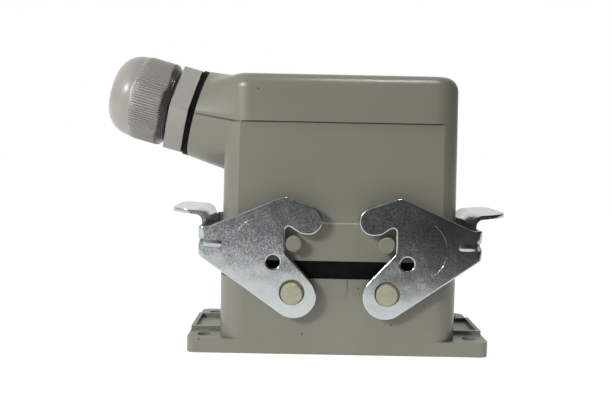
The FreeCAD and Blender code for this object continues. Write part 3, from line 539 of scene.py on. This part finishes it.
def along_hood(name, profile, level, low, high, finish=None):
    """A moulding along the hood's front and rear, from x low to high: profile gives its depth
    behind the face as it is at a level, and its height."""
    for side in ("front", "rear"):
        rings = []
        for index in range(ALONG_STEPS + 1):
            x = low + (high - low) * index / ALONG_STEPS
            face = front_of_hood(x, level).y
            ring = []
            for depth, height in profile:
                place = Vector((x * MM, face + depth * MM, height * MM))
                if side == "rear":
                    place.y = -place.y
                ring.append(place)
            rings.append(ring if side == "front" else ring[::-1])
        mesh = rings_to_mesh(f"{name}_{side}", rings, caps=True)
        add_piece(f"{name}_{side}", mesh, "shell", "grey_casting", smooth_angle=50.0)
        if finish:
            mesh.materials[0] = finish


# A ledge that raises the collar at the hood's foot, chamfered at its upper edge
COLLAR_TOP = 38.9
LEDGE_PROFILE = [(0.0, COLLAR_TOP - 0.3), (0.0, COLLAR_TOP + 1.2), (0.1, COLLAR_TOP + 1.5),
                 (0.52, COLLAR_TOP + 2.0), (0.9, COLLAR_TOP + 2.0), (0.9, COLLAR_TOP - 0.3)]
along_hood("collar_ledge", LEDGE_PROFILE, COLLAR_TOP - 0.5, -31.0, 31.0)

# A dark line under the crown's overhang at the parting line: a strip of painted shade
SEAM_PROFILE = [(-0.03, PARTING - 0.42), (-0.03, PARTING - 0.02), (0.3, PARTING - 0.02),
                (0.3, PARTING - 0.42)]
along_hood("crown_seam", SEAM_PROFILE, PARTING - 0.6, -33.9, 31.0, seam_shade)


# The pins sit low in the levers' holes, so that a gap shows above them
PIVOT_X = 14.35
PIVOT_Z = 19.95
PIN_HEAD = 24.35
PIN_SHRINK = 0.93
PIN_DROP = 0.38
WELD_REACH = 0.000002
SOFT_ANGLE = math.radians(38.0)


def weld_points(mesh):
    """Join the points that a CAD mesh repeats along its edges."""
    work = bmesh.new()
    work.from_mesh(mesh)
    bmesh.ops.remove_doubles(work, verts=work.verts, dist=WELD_REACH)
    work.to_mesh(mesh)
    work.free()
    if mesh.has_custom_normals:
        mesh.attributes.remove(mesh.attributes["custom_normal"])


def soften(thing, width):
    """Round a thing's sharp edges with a modifier."""
    bevel = thing.modifiers.new("soft_edges", "BEVEL")
    bevel.width = width * MM
    bevel.segments = 2
    bevel.limit_method = "ANGLE"
    bevel.angle_limit = SOFT_ANGLE
    bevel.harden_normals = True


def make_pin_end(end, side, x):
    name = f"pivot_pin_{end}_{side}"
    mesh = nodes[name].data.copy()
    middle = Vector((x, 0.0, PIVOT_Z)) * MM
    for vertex in mesh.vertices:
        if abs(vertex.co.y) > PIN_HEAD * MM:
            vertex.co.x = middle.x + (vertex.co.x - middle.x) * PIN_SHRINK
            vertex.co.z = middle.z + (vertex.co.z - middle.z) * PIN_SHRINK - PIN_DROP * MM
    mesh.materials.clear()
    weld_points(mesh)
    low = add_piece(f"{name}_end", mesh, "shell", "nickel", smooth_angle=30.0)
    soften(low, 0.12)
    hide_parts(name)


for end in ("front", "rear"):
    for side, x in (("left", -PIVOT_X), ("right", PIVOT_X)):
        make_pin_end(end, side, x)


# Fine arcs raised on the levers' faces, as a stamping die leaves them
ARM_FACE = 25.5
ARC_SINK = 0.01
ARC_THICK = 0.05
ARC_WIDEN = 1.4
ARC_FLATTEN = 0.7
ARC_TAPER = 0.25
ARC_STEPS = 24
ARC_POINTS = 6
SCRIBED_ARCS = (
    ("scribed_arc_left_high", "lever_left", (-22.5, 33.2), 9.6, 116, 152),
    ("scribed_arc_left_low", "lever_left", (-22.5, 33.2), 9.6, 178, 245),
    ("scribed_arc_right_high", "lever_right", (22.6, 33.2), 9.4, 12, 57),
    ("scribed_arc_right_low", "lever_right", (22.6, 33.2), 9.4, -61, -5),
)


def scribe(name, body, middle, radius, start, stop):
    """An arc about a place on a lever's front face, between two angles in degrees."""
    rings = []
    for index in range(ARC_STEPS + 1):
        turn = math.radians(start + (stop - start) * index / ARC_STEPS)
        from_end = min(index, ARC_STEPS - index)
        thick = ARC_THICK * min(1.0, ARC_TAPER + from_end / 4)
        ring = []
        for part in range(ARC_POINTS):
            swing = 2 * math.pi * part / ARC_POINTS
            reach = radius + ARC_WIDEN * thick * math.cos(swing)
            rise = ARC_FLATTEN * thick * math.sin(swing)
            ring.append(Vector((middle[0] + reach * math.cos(turn), ARC_SINK - ARM_FACE - rise,
                                middle[1] + reach * math.sin(turn))) * MM)
        rings.append(ring)
    add_piece(name, rings_to_mesh(name, rings, caps=True), body, "zinc_sheet", smooth_angle=60.0)


for arc in SCRIBED_ARCS:
    scribe(*arc)


# The stiffening ribs pressed into the levers' corners, which stand a little out of their faces
DART_WIDE = 2.9
DART_TALL = 1.25
DART_RISE = 0.30
DART_SINK = 0.06
DART_MOST = 0.27
DART_LEAN = 0.25
DART_BACK = 25.2
DART_STEPS = 24


def plate_mesh(name, front, back, mirrored):
    """A closed mesh between two square grids of points."""
    across = len(front)
    last = across - 1
    size = across * across
    faces = []
    for row in range(last):
        for column in range(last):
            low = row * across + column
            quad = (low, low + 1, low + across + 1, low + across)
            faces.append(quad)
            faces.append(tuple(corner + size for corner in quad)[::-1])
    border = list(range(across)) + [row * across + last for row in range(1, across)]
    border += [last * across + column for column in range(last - 1, -1, -1)]
    border += [row * across for row in range(last - 1, 0, -1)]
    for first, second in zip(border, border[1:] + border[:1]):
        faces.append((second, first, first + size, second + size))
    if mirrored:
        faces = [face[::-1] for face in faces]
    return mesh_of(name, [point for line in front + back for point in line], faces)


def pressed_rib(name, body, middle, side):
    """A lever's ribs at the front and at the rear, a little higher towards the lever's middle."""
    rows = []
    for row in range(DART_STEPS + 1):
        high = -1 + 2 * row / DART_STEPS
        line = []
        for column in range(DART_STEPS + 1):
            far = -1 + 2 * column / DART_STEPS
            crown = (1 - far * far) * (1 - high * high) ** 1.5 * (1.0 - DART_LEAN * far * side)
            rise = min(DART_RISE * crown - DART_SINK, DART_MOST)
            line.append(Vector((middle[0] + DART_WIDE * far, -ARM_FACE - rise,
                                middle[1] + DART_TALL * high)) * MM)
        rows.append(line)
    for end, sign in (("front", 1.0), ("rear", -1.0)):
        face = [[Vector((point.x, point.y * sign, point.z)) for point in line] for line in rows]
        back = [[Vector((point.x, -sign * DART_BACK * MM, point.z)) for point in line] for line in rows]
        mesh = plate_mesh(f"{name}_{end}", face, back, sign < 0)
        add_piece(f"{name}_{end}", mesh, body, "zinc_sheet", smooth_angle=50.0)


pressed_rib("pressed_rib_left", "lever_left", (-38.1, 34.3), -1.0)
pressed_rib("pressed_rib_right", "lever_right", (38.1, 34.3), 1.0)

for name, width in (("lever_left", 0.18), ("lever_right", 0.18), ("gland_body", 0.35)):
    weld = nodes[name].modifiers.new("weld", "WELD")
    weld.merge_threshold = WELD_REACH
    soften(nodes[name], width)


# Stage, in metres

def stage_piece(name, mesh, finish):
    mesh.materials.append(finish)
    made = bpy.data.objects.new(name, mesh)
    bpy.context.scene.collection.objects.link(made)
    return made


def flat_shape(name, corners, level, finish):
    """A flat piece of the stage with the given corners."""
    mesh = bpy.data.meshes.new(name)
    mesh.from_pydata([(x, y, level) for x, y in corners], [], [tuple(range(len(corners)))])
    return stage_piece(name, mesh, finish)


def pale_finish(name, level, glow):
    finish = Material(name)
    finish.set(Base_Color=grey(level), Roughness=0.9, Specular_IOR_Level=0.0,
               Emission_Color=grey(1.0), Emission_Strength=glow)
    return finish.material


# The floor's front part doesn't show in the metal, like the dark space beyond a table's edge
FLOOR_LEVEL = -0.0002
REACH = 2.6
EDGE = [(-REACH, -0.5), (-0.16, -0.36), (-0.05, -0.24), (0.05, -0.12), (0.16, -0.08), (REACH, -0.08)]
floor_white = pale_finish("floor_white", 0.3, 0.9)
flat_shape("floor", EDGE + [(REACH, REACH), (-REACH, REACH)], FLOOR_LEVEL, floor_white)
front = flat_shape("floor_front", [(-REACH, -REACH), (REACH, -REACH)] + EDGE[::-1], FLOOR_LEVEL,
                   floor_white)
front.visible_glossy = False
front.visible_diffuse = False


ROOM_RADIUS = 2.5


def make_room():
    """A white room round everything, which only the camera sees."""
    mesh = bpy.data.meshes.new("room")
    ball = bmesh.new()
    bmesh.ops.create_uvsphere(ball, u_segments=48, v_segments=24, radius=ROOM_RADIUS)
    bmesh.ops.reverse_faces(ball, faces=ball.faces)
    ball.to_mesh(mesh)
    ball.free()
    room = stage_piece("room", mesh, pale_finish("room_white", 0.0, 1.0))
    room.visible_diffuse = False
    room.visible_glossy = False
    room.visible_transmission = False
    room.visible_shadow = False


make_room()


def studio_world():
    """Soft light by direction: before the object it falls from left to right, and behind it is
    white, less so to the right."""
    world = bpy.data.worlds.new("Studio")
    world.use_nodes = True
    sky = Nodes(world.node_tree)
    way = sky.node("ShaderNodeTexCoord").outputs["Generated"]
    split = sky.node("ShaderNodeSeparateXYZ", {0: way})
    across = sky.remap(split.outputs["X"], 0.0, 1.0, -1.0, 1.0)
    before = sky.ramp(across, (0.28, grey(0.55)), (0.45, grey(0.2)), (0.58, grey(0.035)))
    behind = sky.remap(split.outputs["Y"], 0.0, 1.0, 0.15, 0.7)
    duller = sky.remap(split.outputs["X"], 1.0, 0.3, 0.15, 0.7)
    shades = sky.mix(sky.maths("MULTIPLY", behind, duller), before, grey(0.95))
    sky.give(sky.tree.nodes["Background"], "Color", shades)
    bpy.context.scene.world = world


def area_light(name, place, target, width, height, power):
    light = bpy.data.lights.new(name, "AREA")
    light.shape = "RECTANGLE"
    light.size = width
    light.size_y = height
    light.energy = power
    made = bpy.data.objects.new(name, light)
    bpy.context.scene.collection.objects.link(made)
    made.location = place
    aim = Vector(target) - Vector(place)
    made.rotation_euler = aim.to_track_quat("-Z", "Y").to_euler()


studio_world()
area_light("key", (-0.46, -0.52, 0.34), (0, 0, 0.04), width=0.13, height=0.13, power=3.75)
area_light("top", (0.06, -0.12, 0.50), (0, 0, 0.06), width=0.08, height=0.012, power=0.65)


# Camera, from a fit to the standard flange and peg spacing in the photograph

YAW = math.radians(0.28)
PITCH = math.radians(4.34)
ROLL = math.radians(1.16)
EYE = Vector((-0.0117, -0.2573, 0.0642))
FOCAL_PIXELS = 781.5
FRAME_PIXELS = 612

forward = Vector((math.sin(YAW) * math.cos(PITCH), math.cos(YAW) * math.cos(PITCH), -math.sin(PITCH)))
level_right = Vector((math.cos(YAW), -math.sin(YAW), 0.0))
level_up = level_right.cross(forward)
right = math.cos(ROLL) * level_right + math.sin(ROLL) * level_up
up = math.cos(ROLL) * level_up - math.sin(ROLL) * level_right
lens = bpy.data.cameras.new("Camera")
lens.sensor_width = 36.0
lens.lens = FOCAL_PIXELS / FRAME_PIXELS * lens.sensor_width
lens.clip_start = 0.01
camera = bpy.data.objects.new("Camera", lens)
bpy.context.scene.collection.objects.link(camera)
camera.matrix_world = Matrix((
    (right.x, up.x, -forward.x, EYE.x),
    (right.y, up.y, -forward.y, EYE.y),
    (right.z, up.z, -forward.z, EYE.z),
    (0.0, 0.0, 0.0, 1.0)))
bpy.context.scene.camera = camera
bpy.context.scene.view_settings.view_transform = "Standard"
